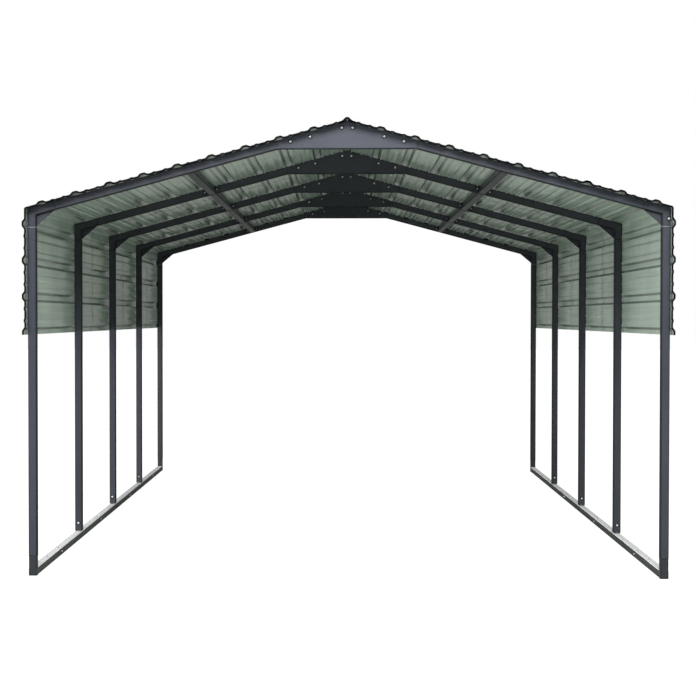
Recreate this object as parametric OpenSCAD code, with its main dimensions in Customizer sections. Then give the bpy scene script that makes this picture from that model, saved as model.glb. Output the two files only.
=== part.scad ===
// Open carport: five portal frames of square steel tube on two base rails,
// tied by two purlins and clad with ribbed steel sheet on the roof and upper sides.
// Millimetres. X is the width, Y runs front to back, Z is up.
// The origin is the centre of the footprint, on the ground.

/* [Overall size] */
// Width across the outer faces of the posts
width = 3658; // [3040:1:4400]
// Length over the outer faces of the end frames
length = 6096; // [5050:1:7350]
// Height of the frame's outer eave corner
eave_h = 2110; // [1850:1:2600]
// Slope of the roof, in degrees
roof_slope = 15; // [10:0.5:20]

/* [Frame tube] */
// Outside width of the square tube of posts, rafters and purlins
tube_w = 48; // [40:0.1:60]
// Wall of that tube
tube_wall = 1.5; // [1:0.1:2]
// Outside radius of the tube's corners
tube_r = 5; // [3:0.5:7]
// How far the rails and feet stand in from the faces of the posts
foot_step = 1; // [0:0.1:1.1]
// Visible seam left between two butted pieces
seam = 0.4; // [0.2:0.1:1]

/* [Connectors] */
// Wall of the spigots that enter the tubes
spigot_wall = 1.1; // [0.8:0.1:2]
// Clearance on each side of a spigot inside its tube
spigot_clear = 0.4; // [0.2:0.1:0.6]
// Length of a spigot inside its tube
spigot_len = 70; // [40:1:100]
// Length of the eave gusset along the rafter
gusset_run = 108; // [60:1:160]
// Length of the eave gusset down the post
gusset_drop = 60; // [30:1:120]
// Bare length of an eave corner beyond its gusset
corner_margin = 8; // [4:1:40]
// Thickness of the eave gusset
gusset_t = 3; // [2:0.5:6]
// Half length of the ridge plate's lower edge
ridge_plate_half = 388; // [250:1:500]
// Width of the strip that the ridge plate adds beyond that edge
ridge_plate_lap = 12; // [5:1:30]
// Thickness of each ridge plate
ridge_plate_t = 2.5; // [1.5:0.5:5]

/* [Base] */
// Height of a corner foot's stub above the ground
foot_h = 115; // [90:1:200]
// Length of a corner foot along the rail
foot_len = 510; // [480:1:600]
// Height of the bare stub between a rail and an inner post
stub_show = 7; // [5:1:50]
// Distance of a rail's splice from the middle of its bay
splice_offset = 60; // [40:1:120]
// Diameter of the anchor holes
anchor_d = 20; // [10:0.5:24]
// Distance of the corner anchor holes from the ends of the rails
anchor_in = 430; // [300:1:440]

/* [Purlins] */
// Distance of each purlin's centre from the middle of the roof
purlin_x = 910; // [700:1:1100]
// Half length of a purlin's end flange along the rafter
flange_half = 58; // [45:1:80]
// Thickness of a purlin's end flange
flange_t = 3; // [2:0.5:6]

/* [Sheets] */
// Thickness of the ribbed sheet
sheet_t = 1; // [0.8:0.1:2]
// Gap between a sheet and the tubes that carry it
sheet_gap = 0.3; // [0.2:0.1:0.8]
// Gap between the posts and the side sheets
side_gap = 6; // [2:1:30]
// How far the sheets stand out past the end frames
sheet_overhang = 65; // [0:1:120]
// Distance between main ribs of a roof sheet
rib_pitch = 200; // [160:0.1:245]
// Distance between main ribs of a side sheet
side_pitch = 206.4; // [170:0.1:250]
// Height of a main rib
rib_h = 16; // [12:0.5:30]
// Width of a main rib at its foot
rib_base = 62; // [45:1:70]
// Width of a main rib at its crest
rib_top = 25; // [10:1:30]
// Height of a minor rib
minor_h = 3; // [1.5:0.5:5]
// Width of a minor rib at its foot
minor_base = 26; // [16:1:30]
// Width of a minor rib at its crest
minor_top = 12; // [6:1:14]
// Distance from the eave bend down to the side sheet's first main rib
side_first_rib = 93; // [80:1:120]
// Main ribs on a side sheet, the last one cut at its crest
side_ribs = 4; // [2:1:6]
// Gap between a wing of the ridge cap and the next minor rib
cap_clear = 6; // [2:0.5:10]
// Height of the ridge cap's rib
cap_h = 16; // [12:0.5:36]
// Width of the ridge cap's crest
cap_top = 16; // [8:1:24]

/* [Hidden] */
frame_count = 5;
sides = ["left", "right"];
frame_color = "#4d5059";
sheet_color = "#3b3f45";
half = width / 2;
post_x = half - tube_w / 2;
end_y = length / 2;
bay = (length - tube_w) / (frame_count - 1);
base_w = tube_w - 2 * foot_step;
spigot_w = tube_w - 2 * tube_wall - 2 * spigot_clear;
spigot_r = tube_r - tube_wall - spigot_clear;
bore_w = spigot_w - 2 * spigot_wall;
bore_r = max(spigot_r - spigot_wall, 0.4);
corner_wall = (tube_w - bore_w) / 2;
base_wall = (base_w - bore_w) / 2;
mitre = (90 - roof_slope) / 2;
bend = (90 + roof_slope) / 2;
corner_drop = tube_w / tan(bend) + gusset_drop + corner_margin;
corner_reach = tube_w / tan(bend) + gusset_run + corner_margin;
post_top = eave_h - corner_drop - seam;
roof_len = (half + side_gap) / cos(roof_slope);
sheet_len = length + 2 * sheet_overhang;
roof_ribs = floor((roof_len - rib_base) / rib_pitch);
cap_lift = (sheet_gap + sheet_t + sheet_gap) / cos(roof_slope);
cap_wing = rib_pitch / 3 - minor_base / 2 - cap_clear;
anchor_mid_1 = end_y - tube_w / 2 - bay / 2;
anchor_mid_2 = anchor_mid_1 - bay;

// Distance of a frame's centre plane from the middle, frame 1 being the front one
function frame_y(i) = -end_y + tube_w / 2 + (i - 1) * bay;

// Height of the rafters' top plane at a distance x from the middle
function roof_z(x) = eave_h + (half - x) * tan(roof_slope);

// Inner corner between a post and its rafter, as [x, z]
function inner_corner() = [half - tube_w, roof_z(half - tube_w) - tube_w / cos(roof_slope)];

// The four bottom points of a rib centred at c
function rib(c, base, crest, h) = [
    [c - base / 2, 0], [c - crest / 2, h], [c + crest / 2, h], [c + base / 2, 0]
];

// A main rib at c, followed by the two minor ribs that share the pitch on its far side
function rib_group(c, pitch) = concat(
    rib(c, rib_base, rib_top, rib_h),
    rib(c + pitch / 3, minor_base, minor_top, minor_h),
    rib(c + pitch * 2 / 3, minor_base, minor_top, minor_h)
);

// Draws its children on the right for side "right" and mirrored for side "left"
module on_side(side) {
    if (side == "left") mirror([1, 0, 0]) children();
    else children();
}

// Local frame on the right-hand roof slope: X runs up the slope, Z out of the roof
module on_slope(y) {
    translate([half, y, eave_h]) rotate([0, roof_slope, 0]) mirror([1, 0, 0]) children();
}

// Square with round corners, centred
module round_square(w, r) {
    square([w - 2 * r, w], center = true);
    square([w, w - 2 * r], center = true);
    for (x = [-1, 1], y = [-1, 1])
        translate([x * (w / 2 - r), y * (w / 2 - r)]) circle(r, $fn = 24);
}

// Solid bar along +Z
module bar(len, w, r) {
    linear_extrude(len) round_square(w, r);
}

// Frame tube along +Z
module tube(len) {
    difference() {
        bar(len, tube_w, tube_r);
        translate([0, 0, -1]) bar(len + 2, tube_w - 2 * tube_wall, tube_r - tube_wall);
    }
}

// Keeps what lies on the post's side (-1) or the rafter's side (1) of the mitre
module mitre_cut(keep) {
    big = 4 * corner_reach + 4 * spigot_len;
    c = [post_x, 0, eave_h - tube_w / 2 / cos(roof_slope) + tube_w / 2 * tan(roof_slope)];
    intersection() {
        children();
        translate(c) rotate([0, -mitre, 0]) translate([0, 0, keep * big / 2])
            cube(big, center = true);
    }
}

// Elbow of bar from below the eave up into the roof slope
module elbow(w, r, down, up) {
    mitre_cut(-1) translate([post_x, 0, eave_h - down]) bar(down + tube_w, w, r);
    mitre_cut(1) on_slope(0) translate([-tube_w, 0, -tube_w / 2]) rotate([0, 90, 0])
        bar(up + tube_w, w, r);
}

// Eave corner: hollow mitred elbow with spigots for post and rafter, and a gusset
module eave_corner(side, i) {
    c = inner_corner();
    bite = corner_wall / 2;
    run = [-cos(roof_slope), sin(roof_slope)] * gusset_run;
    color(frame_color) on_side(side) translate([0, frame_y(i), 0]) {
        difference() {
            union() {
                elbow(tube_w, tube_r, corner_drop, corner_reach);
                elbow(spigot_w, spigot_r, corner_drop + spigot_len, corner_reach + spigot_len);
            }
            elbow(bore_w, bore_r, corner_drop + spigot_len + 1, corner_reach + spigot_len + 1);
        }
        rotate([90, 0, 0]) linear_extrude(gusset_t, center = true)
            polygon([c + [bite, bite], c + run + [0, bite], c + run, c - [0, gusset_drop],
                c + [bite, -gusset_drop]]);
    }
}

// Post, from its foot or stub up to the eave corner
module post(side, i) {
    is_end = i == 1 || i == frame_count;
    bottom = is_end ? foot_h + seam : base_w + stub_show;
    color(frame_color) on_side(side) translate([post_x, frame_y(i), bottom])
        tube(post_top - bottom);
}

// Rafter, from the eave corner up to the ridge
module rafter(side, i) {
    start = corner_reach + seam;
    color(frame_color) on_side(side) difference() {
        on_slope(frame_y(i)) translate([start, 0, -tube_w / 2]) rotate([0, 90, 0])
            tube(half / cos(roof_slope) - start + tube_w);
        translate([seam / 2 - 2 * tube_w, frame_y(i), roof_z(0)])
            cube([4 * tube_w, 2 * tube_w, 8 * tube_w], center = true);
    }
}

// Pair of ridge plates, one on each face of a frame's rafters
module ridge_plates(i) {
    edge = ridge_plate_half + ridge_plate_lap;
    low = roof_z(ridge_plate_half) - tube_w / cos(roof_slope);
    low_edge = roof_z(edge) - tube_w / cos(roof_slope);
    off = tube_w / 2 + seam / 2 + ridge_plate_t / 2;
    color(frame_color) for (face = [-1, 1])
        translate([0, frame_y(i) + face * off, 0]) rotate([90, 0, 0])
            linear_extrude(ridge_plate_t, center = true) polygon([
                [-edge, low_edge], [-ridge_plate_half, low], [ridge_plate_half, low],
                [edge, low_edge], [edge, roof_z(edge)], [0, roof_z(0)], [-edge, roof_z(edge)]
            ]);
}

// Anchor hole straight down through a rail
module anchor_hole(y) {
    translate([post_x, y, -1]) cylinder(h = base_w + 2, d = anchor_d, $fn = 48);
}

// Rail bar along Y from y0 to y1, resting on the ground
module rail_bar(y0, y1, w, r) {
    translate([post_x, y0, base_w / 2]) rotate([-90, 0, 0]) bar(y1 - y0, w, r);
}

// Front right corner foot: rail end, stub and spigot for the post
module corner_foot() {
    y0 = -end_y;
    y1 = y0 + foot_len;
    color(frame_color) difference() {
        union() {
            rail_bar(y0 + foot_step, y1, base_w, tube_r);
            translate([post_x, frame_y(1), 0]) bar(foot_h, base_w, tube_r);
            translate([post_x, frame_y(1), 0]) bar(foot_h + spigot_len, spigot_w, spigot_r);
        }
        rail_bar(y0 + foot_step + base_wall, y1 + 1, bore_w, bore_r);
        translate([post_x, frame_y(1), base_w / 2]) bar(foot_h + spigot_len, bore_w, bore_r);
        anchor_hole(y0 + anchor_in);
    }
}

// The four corner feet
module corner_feet() {
    for (side = sides) on_side(side) {
        corner_foot();
        mirror([0, 1, 0]) corner_foot();
    }
}

// Length of rail from y0 to y1 with a stub and spigot for the post of frame i
module rail_tee(y0, y1, i) {
    stub_top = base_w + stub_show + spigot_len;
    difference() {
        union() {
            rail_bar(y0 + seam / 2, y1 - seam / 2, base_w, tube_r);
            translate([post_x, frame_y(i), base_w / 2])
                bar(stub_top - base_w / 2, spigot_w, spigot_r);
        }
        rail_bar(y0 - 1, y1 + 1, bore_w, bore_r);
        translate([post_x, frame_y(i), base_w / 2]) bar(stub_top, bore_w, bore_r);
        for (y = [anchor_mid_1, anchor_mid_2], s = [-1, 1]) anchor_hole(s * y);
    }
}

// Base rail of one side, spliced once in each inner bay
module base_rail(side) {
    first = -end_y + foot_len;
    splice = -anchor_mid_2 + splice_offset;
    color(frame_color) on_side(side) {
        rail_tee(first, splice, 2);
        rail_tee(splice, -splice, 3);
        rail_tee(-splice, -first, 4);
    }
}

// Purlin of one side: a length with end flanges in each bay
module purlin(side) {
    len = bay - tube_w - 2 * seam;
    reach = (half - purlin_x) / cos(roof_slope);
    color(frame_color) on_side(side) for (i = [1:frame_count - 1])
        on_slope(frame_y(i) + tube_w / 2 + seam) translate([reach, 0, -tube_w / 2]) {
            rotate([-90, 0, 0]) tube(len);
            for (y = [flange_t / 2, len - flange_t / 2]) translate([0, y, 0]) difference() {
                cube([2 * flange_half, flange_t, tube_w], center = true);
                rotate([90, 0, 0]) translate([0, 0, -flange_t])
                    bar(2 * flange_t, tube_w - 2 * tube_wall, tube_r - tube_wall);
            }
        }
}

// Ribbed sheet: the underside's outline, thickened and run along Y
module sheet(underside) {
    last = len(underside) - 1;
    skin = [for (i = [last:-1:1]) underside[i] + [0, sheet_t]];
    translate([0, sheet_len / 2, 0]) rotate([90, 0, 0]) linear_extrude(sheet_len)
        polygon(concat(underside, skin, [[-sheet_t / tan(bend), sheet_t]]));
}

// Roof sheet of one side, from the eave bend to the ridge
module roof_sheet(side) {
    bend_u = sheet_gap * tan(roof_slope) - side_gap / cos(roof_slope);
    ribs = [for (k = [roof_ribs:-1:1]) each rib_group(roof_len - k * rib_pitch, rib_pitch)];
    color(sheet_color) on_side(side) on_slope(0) translate([bend_u, 0, sheet_gap])
        sheet(concat([[0, 0]], ribs, [[roof_len - seam / 2, 0]]));
}

// Side sheet of one side, from the eave bend down to its last rib's crest
module side_sheet(side) {
    ribs = [for (k = [0:side_ribs - 2]) each rib_group(side_first_rib + k * side_pitch, side_pitch)];
    hem = side_first_rib + (side_ribs - 1) * side_pitch;
    lip = rib(hem, rib_base, rib_top, rib_h);
    bend_z = roof_z(half + side_gap) + sheet_gap / cos(roof_slope);
    color(sheet_color) on_side(side) translate([half + side_gap, 0, bend_z])
        rotate([0, 90, 0]) sheet(concat([[0, 0]], ribs, [lip[0], lip[1], lip[2]]));
}

// Ridge cap: two wings on the roof sheets and a rib over the ridge
module ridge_cap() {
    wing = cap_wing * cos(roof_slope);
    foot = rib_base / 2 * cos(roof_slope);
    right = [
        [cap_top / 2, roof_z(0) + cap_lift + cap_h], [foot, roof_z(foot) + cap_lift],
        [wing, roof_z(wing) + cap_lift]
    ];
    left = [for (i = [2:-1:0]) [-right[i][0], right[i][1]]];
    under = concat(left, right);
    skin = [for (i = [5:-1:0]) under[i] + [0, sheet_t]];
    color(sheet_color) translate([0, sheet_len / 2, 0]) rotate([90, 0, 0])
        linear_extrude(sheet_len) polygon(concat(under, skin));
}

for (s = sides, i = [1:frame_count]) {
    post(s, i);
    eave_corner(s, i);
    rafter(s, i);
}
for (i = [1:frame_count])
    ridge_plates(i);
for (s = sides) {
    base_rail(s);
    purlin(s);
    roof_sheet(s);
    side_sheet(s);
}
corner_feet();
ridge_cap();
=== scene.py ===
"""Looks of an open steel carport, built around its packed construction model.

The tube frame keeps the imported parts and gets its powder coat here. The ribbed sheets,
the ridge cap, the seam collars, the bolts and the screws are built as meshes in this file.
Everything is in metres: X is the width, Y runs front to back, Z is up.
"""
import logging
import math
from dataclasses import dataclass, field, replace
from enum import Enum
from typing import Any, Iterable, Iterator, Sequence

import bpy
import numpy as np
from mathutils import Matrix, Vector


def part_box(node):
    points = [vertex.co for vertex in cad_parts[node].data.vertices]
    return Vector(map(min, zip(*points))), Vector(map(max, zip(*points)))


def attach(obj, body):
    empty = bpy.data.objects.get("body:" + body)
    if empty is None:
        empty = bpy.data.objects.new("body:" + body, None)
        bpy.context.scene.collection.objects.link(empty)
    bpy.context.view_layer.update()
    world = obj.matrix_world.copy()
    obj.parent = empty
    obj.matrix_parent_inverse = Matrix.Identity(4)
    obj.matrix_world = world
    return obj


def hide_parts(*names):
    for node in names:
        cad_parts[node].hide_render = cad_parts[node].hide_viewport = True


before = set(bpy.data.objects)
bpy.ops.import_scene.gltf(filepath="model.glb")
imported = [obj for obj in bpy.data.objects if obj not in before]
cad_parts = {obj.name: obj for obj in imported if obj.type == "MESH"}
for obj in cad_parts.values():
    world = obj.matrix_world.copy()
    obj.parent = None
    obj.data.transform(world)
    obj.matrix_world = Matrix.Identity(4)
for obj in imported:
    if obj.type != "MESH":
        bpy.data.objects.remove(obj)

log = logging.getLogger("carport")

BODY = "root"
MM = 0.001

# sizes that several sub-assemblies share, in metres
FRAME_COUNT = 5
FRAME_PITCH = 1.512
HALF_WIDTH = 1.829
TUBE = 48.0 * MM
POST_X = 1.805
SLOPE = math.radians(15.0)
ROOF_PITCH = 200.0 * MM
SIDE_PITCH = 206.4 * MM
TURN_STEP = 0.7  # how far each head is turned from the one before, in radians

Point = tuple[float, float]  # a place in a section, or another pair of numbers
Colour = tuple[float, float, float, float]


class Side(Enum):
    """The two long sides of the carport, with the sign of their X."""

    LEFT = -1
    RIGHT = 1

    @property
    def word(self) -> str:
        """The side as it stands in part names."""
        return self.name.lower()


class Slot(Enum):
    """Material slots of the record."""

    FRAME = "frame_steel"
    SHEET = "sheet_steel"


# ---------------------------------------------------------------- small tools


def linear(code: str) -> Colour:
    """Turns an sRGB colour into the linear one that shaders work in.

    Args:
        code: six hex digits, such as "8a8d90".

    Returns:
        Linear red, green, blue and an alpha of 1.
    """
    def channel(value: float) -> float:
        """One channel, from sRGB to linear."""
        return value / 12.92 if value <= 0.04045 else ((value + 0.055) / 1.055) ** 2.4

    red, green, blue = (channel(int(code[i:i + 2], 16) / 255) for i in (0, 2, 4))
    return red, green, blue, 1.0


def per_metre(millimetres: float) -> float:
    """How many features of that size fit in a metre, which is a texture's scale."""
    return 1000.0 / millimetres


def frame_y(number: int) -> float:
    """Y of a frame's middle plane, frame 1 being the front one."""
    return (number - (FRAME_COUNT + 1) / 2) * FRAME_PITCH


def add_node(tree: bpy.types.NodeTree, kind: str,
             inputs: dict[Any, Any] | None = None, **settings: Any) -> bpy.types.Node:
    """Adds a shader node with its settings, its values and its links.

    Args:
        tree: the node tree to add to.
        kind: the node's type name.
        inputs: for each input, by name or number, a value, another node's output, or a
            node, which gives its first output.
        **settings: the node's own properties.

    Returns:
        The new node.
    """
    made = tree.nodes.new(kind)
    for name, value in settings.items():
        setattr(made, name, value)
    for key, value in (inputs or {}).items():
        if isinstance(value, bpy.types.Node):
            value = value.outputs[0]
        if isinstance(value, bpy.types.NodeSocket):
            tree.links.new(value, made.inputs[key])
        else:
            made.inputs[key].default_value = value
    return made


class Shop:
    """Collects small parts and welds them into one mesh."""

    crease = math.radians(35.0)  # above this angle an edge stays sharp

    def __init__(self) -> None:
        """Starts with an empty bench."""
        self.points: list[np.ndarray] = []
        self.faces: list[list[int]] = []
        self.slots: list[int] = []
        self.count = 0

    def add(self, points: np.ndarray, faces: Iterable[Sequence[int]],
            slot: int = 0) -> None:
        """Puts one part on the bench.

        Args:
            points: its vertices, one row each.
            faces: its faces, as vertex numbers.
            slot: which of the finished mesh's materials it takes.
        """
        for face in faces:
            self.faces.append([int(i) + self.count for i in face])
            self.slots.append(slot)
        self.points.append(np.asarray(points, float))
        self.count += len(points)

    def weld(self, name: str, finishes: Sequence["Finish"],
             slot: Slot) -> bpy.types.Object:
        """Makes the one mesh object of all parts, and lets it ride on the carport.

        Args:
            name: the object's name.
            finishes: its finishes, in slot order.
            slot: the record's material slot; not used.

        Returns:
            The new object.
        """
        mesh = bpy.data.meshes.new(name)
        mesh.from_pydata(np.concatenate(self.points).tolist(), [], self.faces)
        for finish in finishes:
            mesh.materials.append(finish.material())
        mesh.polygons.foreach_set("material_index", self.slots)
        mesh.update()
        mesh.validate()
        mesh.shade_smooth()
        mesh.set_sharp_from_angle(angle=self.crease)
        made = bpy.data.objects.new(name, mesh)
        bpy.context.scene.collection.objects.link(made)
        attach(made, BODY)
        log.info("%s: %d faces", name, len(mesh.polygons))
        return made


# ---------------------------------------------------------------- finishes


@dataclass(frozen=True)
class Finish:
    """What every finish has: a name, and a material that is made once."""

    name: str

    def sockets(self, tree: bpy.types.NodeTree) -> dict[Any, Any]:
        """Inputs of the surface shader, with the nodes that feed them.

        Args:
            tree: the material's node tree.

        Returns:
            A value, a node or an output socket for each input of the surface shader.
        """
        raise NotImplementedError

    def material(self) -> bpy.types.Material:
        """Makes the material at the first call, and returns that one afterwards."""
        known = bpy.data.materials.get(self.name)
        if known:
            return known
        made = bpy.data.materials.new(self.name)
        made.use_nodes = True
        tree = made.node_tree
        tree.nodes.clear()
        shader = add_node(tree, "ShaderNodeBsdfPrincipled", self.sockets(tree))
        add_node(tree, "ShaderNodeOutputMaterial", {"Surface": shader})
        return made


@dataclass(frozen=True)
class PowderCoat(Finish):
    """Polyester powder coat, sprayed on galvanised tube and baked.

    It gives an even slate colour with a soft gloss and a fine orange peel. Its round
    corners and edges are painted darker as shade, its flanks are painted darker than the
    front as shade, and pale dust lies on what faces up; where that dust is set white, as
    on the base tubes, it is a painted highlight.

    Heights and lengths are in metres, and the scales of the patterns in millimetres. A
    rail has stubs above stub_from, and a rim painted white as a highlight from rim_from
    to rail_top along rail_run each way from the middle; a coat without them starts both
    out of reach.
    """

    body: str = "41444f"
    edge_shade: str = "101114"
    dust_and_sheen: str = "8d8b84"
    dust_and_sheen_share: float = 0.5
    stub: str = "42454f"
    stub_from: float = 10.0
    rim_from: float = 10.0
    rail_top: float = 47.5 * MM
    rail_run: float = 3.0
    gloss: float = 0.40
    shade_and_dust_dull: float = 0.4
    corner_axis: tuple[float, float, float] = (0.0, 1.0, 0.0)
    corner_share: float = 0.92
    flank_shade: float = 0.0
    edge: float = 9.0
    peel: float = 3.0
    peel_depth: float = 0.15
    cloud: float = 420.0
    scuff: float = 9.0

    def shaded_edges(self, tree: bpy.types.NodeTree, square: bpy.types.Node) -> bpy.types.Node:
        """Where shade is painted on the coat: on round corners, along edges and on the
        flanks.

        Args:
            tree: the material's node tree.
            square: the node of the normal's share along one flat, squared.

        Returns:
            The node that gives the share of painted shade.
        """
        # painted shade: round corners, edges and flanks are mixed towards a dark colour
        rest = add_node(tree, "ShaderNodeMath", {0: 1.0, 1: square}, operation="SUBTRACT")
        round_off = add_node(tree, "ShaderNodeMath", {0: square, 1: rest},
                             operation="MULTIPLY")
        corner = add_node(tree, "ShaderNodeMapRange", {
            "Value": round_off, "From Min": 0.01, "From Max": 0.12,
            "To Max": self.corner_share})
        # the rounded normal leaves the face's own one within a few millimetres of an edge
        eased = add_node(tree, "ShaderNodeBevel", {"Radius": self.edge * MM}, samples=4)
        turn = add_node(tree, "ShaderNodeVectorMath", {
            0: eased, 1: add_node(tree, "ShaderNodeNewGeometry").outputs["Normal"]},
            operation="DOT_PRODUCT")
        edge = add_node(tree, "ShaderNodeMapRange", {
            "Value": turn.outputs["Value"], "From Min": 1.0, "From Max": 0.93,
            "To Max": self.corner_share})
        flank_shade = add_node(tree, "ShaderNodeMapRange", {
            "Value": square, "From Min": 0.5, "From Max": 0.0, "To Max": self.flank_shade})
        for more in (edge, flank_shade):
            corner = add_node(tree, "ShaderNodeMath", {0: corner, 1: more},
                              operation="MAXIMUM")
        return corner

    def dusty_and_highlit(self, tree: bpy.types.NodeTree, parts: bpy.types.Node,
              normal: bpy.types.NodeSocket, square: bpy.types.Node,
              speck: bpy.types.Node) -> bpy.types.Node:
        """Where the coat is pale: in specks on what faces up, and along a rail's rim. The
        specks are dust, painted white as a highlight on the base tubes; the rim is a painted
        highlight.

        Args:
            tree: the material's node tree.
            parts: the node that gives the place's X, Y and Z.
            normal: the normal.
            square: the node of the normal's share along one flat, squared.
            speck: the node of the fine pattern.

        Returns:
            The node that gives the share of dust and of painted highlight.
        """
        up = add_node(tree, "ShaderNodeSeparateXYZ", {0: normal}).outputs["Z"]
        lying = add_node(tree, "ShaderNodeMapRange", {
            "Value": up, "From Min": 0.6, "From Max": 1.0, "To Max": self.dust_and_sheen_share})
        patchy = add_node(tree, "ShaderNodeMapRange", {
            "Value": speck, "From Min": 0.2, "From Max": 0.6})
        dust_and_sheen = add_node(tree, "ShaderNodeMath", {0: lying, 1: patchy},
                        operation="MULTIPLY")
        # the rim, a painted highlight, runs along the top of a rail's two faces, between the
        # end posts
        height = parts.outputs["Z"]
        run = add_node(tree, "ShaderNodeMath", {0: parts.outputs["Y"]},
                       operation="ABSOLUTE")
        rim = add_node(tree, "ShaderNodeMath", {0: height, 1: self.rim_from},
                       operation="GREATER_THAN")
        for value, limit, way in ((height, self.rail_top, "LESS_THAN"),
                                  (run, self.rail_run, "LESS_THAN"),
                                  (square, 0.1, "GREATER_THAN")):
            test = add_node(tree, "ShaderNodeMath", {0: value, 1: limit}, operation=way)
            rim = add_node(tree, "ShaderNodeMath", {0: rim, 1: test},
                           operation="MULTIPLY")
        return add_node(tree, "ShaderNodeMath", {0: dust_and_sheen, 1: rim}, operation="MAXIMUM")

    def sockets(self, tree: bpy.types.NodeTree) -> dict[Any, Any]:
        """Inputs of the surface shader for the powder coat.

        Args:
            tree: the material's node tree.

        Returns:
            A value, a node or an output socket for each input of the surface shader.
        """
        place = add_node(tree, "ShaderNodeTexCoord").outputs["Object"]
        normal = add_node(tree, "ShaderNodeTexCoord").outputs["Normal"]
        parts = add_node(tree, "ShaderNodeSeparateXYZ", {0: place})
        cloud = add_node(tree, "ShaderNodeTexNoise", {
            "Vector": place, "Scale": per_metre(self.cloud), "Detail": 4.0})
        speck = add_node(tree, "ShaderNodeTexNoise", {
            "Vector": place, "Scale": per_metre(self.scuff), "Detail": 6.0,
            "Roughness": 0.65})
        is_stub = add_node(tree, "ShaderNodeMath", {
            0: parts.outputs["Z"], 1: self.stub_from}, operation="GREATER_THAN")
        base = add_node(tree, "ShaderNodeMix", {
            0: is_stub, 6: linear(self.body), 7: linear(self.stub)}, data_type="RGBA")
        tone = add_node(tree, "ShaderNodeMapRange", {
            "Value": cloud, "From Min": 0.3, "From Max": 0.7,
            "To Min": 0.86, "To Max": 1.14})
        shade = add_node(tree, "ShaderNodeVectorMath", {0: base.outputs[2], 3: tone},
                         operation="SCALE")
        # a normal's share along one flat is 0 or 1 on the flats, and between on corners
        along = add_node(tree, "ShaderNodeVectorMath", {
            0: normal, 1: self.corner_axis}, operation="DOT_PRODUCT").outputs["Value"]
        square = add_node(tree, "ShaderNodeMath", {0: along, 1: along},
                          operation="MULTIPLY")
        edge_shade = self.shaded_edges(tree, square)
        dust_and_sheen = self.dusty_and_highlit(tree, parts, normal, square, speck)
        # painted shade: the coat turns dark on its corners, edges and flanks
        worn_and_shaded = add_node(tree, "ShaderNodeMix", {
            0: edge_shade, 6: shade, 7: linear(self.edge_shade)}, data_type="RGBA")
        # pale dust, which on the base tubes is pure white as a painted highlight
        colour = add_node(tree, "ShaderNodeMix", {
            0: dust_and_sheen, 6: worn_and_shaded.outputs[2], 7: linear(self.dust_and_sheen)}, data_type="RGBA")
        rough = add_node(tree, "ShaderNodeMapRange", {
            "Value": speck, "From Min": 0.3, "From Max": 0.7,
            "To Min": self.gloss - 0.06, "To Max": self.gloss + 0.08})
        dull = add_node(tree, "ShaderNodeMath", {0: dust_and_sheen, 1: edge_shade}, operation="MAXIMUM")
        matt = add_node(tree, "ShaderNodeMath", {0: dull, 1: self.shade_and_dust_dull, 2: rough},
                        operation="MULTIPLY_ADD")
        # orange peel is about 1 mm across, drawn at 3 mm to show
        peel = add_node(tree, "ShaderNodeTexNoise", {
            "Vector": place, "Scale": per_metre(self.peel), "Detail": 2.0})
        bump = add_node(tree, "ShaderNodeBump", {
            "Height": peel, "Strength": 0.25, "Distance": self.peel_depth * MM})
        return {"Base Color": colour.outputs[2], "Roughness": matt, "Normal": bump,
                "IOR": 1.5}


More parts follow.
